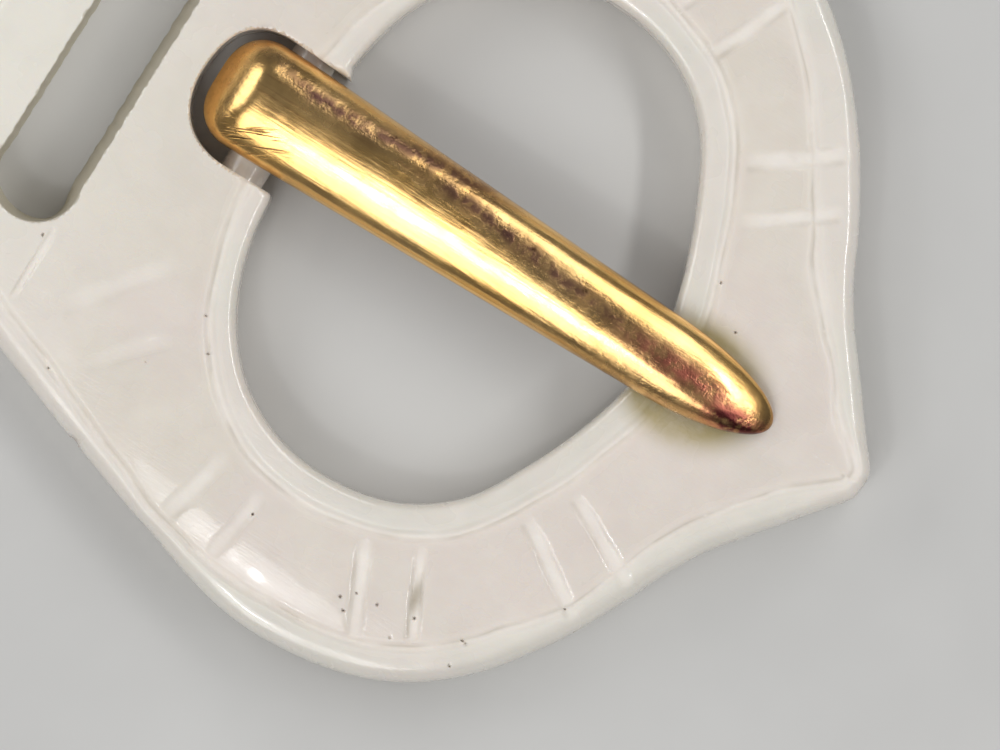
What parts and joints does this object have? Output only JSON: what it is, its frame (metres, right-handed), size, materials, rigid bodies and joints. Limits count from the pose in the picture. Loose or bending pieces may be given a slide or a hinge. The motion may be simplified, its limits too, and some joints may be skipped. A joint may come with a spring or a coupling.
{
  "type": "belt buckle",
  "caption": "Flat carved buckle plate with a blunt point, an oval opening and a strap slot, and a gilt tongue that turns on a wire pin.",
  "frame": {"origin": "under the middle of the plate, on its flat back", "axes": "+X from the strap end to the nose, +Z out of the carved face, Y across the strap"},
  "size_m": [0.056, 0.0492, 0.0068],
  "materials": {
    "shell": "polished carved shell, off-white",
    "gilt": "gilt, worn and polished",
    "steel": "drawn wire, rusty at its end"
  },
  "bodies": {
    "plate": {"frame": "shell", "hinge_pin": "steel"},
    "tongue_arm": {"tongue": "gilt", "tongue_knuckle": "gilt"}
  },
  "joints": [
    {"name": "tongue_hinge", "type": "hinge", "parent": "plate", "child": "tongue_arm", "pos_m": [-0.0101, 0.0004, 0.0019], "axis": [0, -1, 0], "range_deg": [0, 100]}
  ]
}
